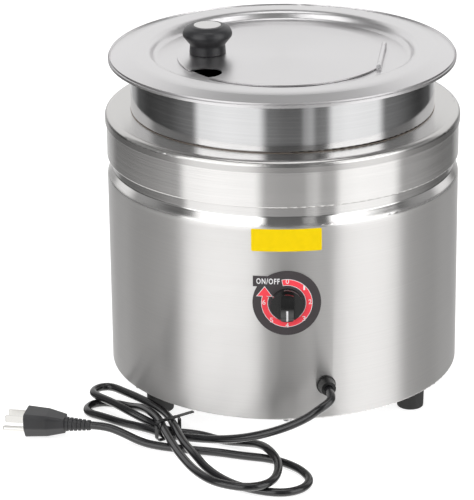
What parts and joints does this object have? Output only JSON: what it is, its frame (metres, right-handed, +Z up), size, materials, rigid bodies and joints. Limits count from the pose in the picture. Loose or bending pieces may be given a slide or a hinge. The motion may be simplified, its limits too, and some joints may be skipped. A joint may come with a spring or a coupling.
{
  "type": "electric soup kettle",
  "caption": "Round stainless countertop soup kettle with a lift-out pot, a notched hinged lid with a black knob, a front heat dial and a coiled mains lead.",
  "frame": {"origin": "on the floor under the kettle's vertical axis, at the centre of the circle of its three feet", "axes": "+Z up, -Y to the front where the dial is, +X to the right seen from the front"},
  "size_m": [0.3969, 0.4055, 0.3272],
  "materials": {
    "shell_steel": "fine horizontal brushed stainless sheet",
    "deck_steel": "bright brushed stainless sheet with a rolled rim",
    "pot_steel": "brushed stainless, brighter than the shell",
    "lid_steel": "satin stainless sheet",
    "inner_steel": "plain stainless or zinc plated steel, unseen",
    "heater_alloy": "cast aluminium, plain",
    "element_sheath": "dark oxidised heater sheath",
    "insulation": "glass fibre felt",
    "black_knob": "glossy black moulded plastic",
    "dial_print": "satin dark grey printed film",
    "inner_plastic": "plain moulded insulator",
    "black_rubber": "matt black rubber",
    "cord_jacket": "satin black cord jacket",
    "plug_plastic": "satin black moulded plug",
    "plug_metal": "plated contact metal",
    "screw_steel": "plated fasteners"
  },
  "bodies": {
    "kettle_body": {"outer_shell": "shell_steel", "top_deck": "deck_steel", "water_well": "inner_steel", "dial_plate": "dial_print", "thermostat_bracket": "inner_steel", "thermostat_body": "inner_plastic", "bushing_nut": "screw_steel", "sensor_bulb": "inner_steel", "heater_plate": "heater_alloy", "heater_element": "element_sheath", "heater_clamp": "inner_steel", "heater_nut": "screw_steel", "thermal_cutout": "inner_plastic", "insulation_wrap": "insulation", "base_plate": "inner_steel", "base_screws": "screw_steel", "foot_rear": "black_rubber", "foot_front_left": "black_rubber", "foot_front_right": "black_rubber", "foot_screws": "screw_steel", "foot_nuts": "screw_steel", "terminal_block": "inner_plastic", "gland_body": "black_knob", "gland_nut": "inner_plastic", "power_cord": "cord_jacket", "cord_tie": "cord_jacket", "plug_body": "plug_plastic", "plug_blades": "plug_metal", "plug_ground_pin": "plug_metal"},
    "pot": {"inset_pot": "pot_steel"},
    "lid": {"lid_ring": "lid_steel", "hinge_pin": "screw_steel"},
    "flap": {"lid_flap": "lid_steel", "flap_knob": "black_knob", "flap_knob_cap": "screw_steel", "flap_knob_screw": "screw_steel"},
    "dial": {"control_knob": "black_knob", "thermostat_shaft": "inner_steel"}
  },
  "joints": [
    {"name": "pot_lift", "type": "slide", "parent": "kettle_body", "child": "pot", "axis": [0, 0, 1], "range_m": [0, 0.2]},
    {"name": "lid_lift", "type": "slide", "parent": "pot", "child": "lid", "axis": [0, 0, 1], "range_m": [0, 0.08]},
    {"name": "flap_hinge", "type": "hinge", "parent": "lid", "child": "flap", "pos_m": [0.08486, -0.01042, 0.3034], "axis": [0.1219, 0.9925, 0], "range_deg": [0, 110]},
    {"name": "dial_turn", "type": "hinge", "parent": "kettle_body", "child": "dial", "pos_m": [0, -0.16, 0.1334], "axis": [0, 1, 0], "range_deg": [-180, 90]}
  ]
}
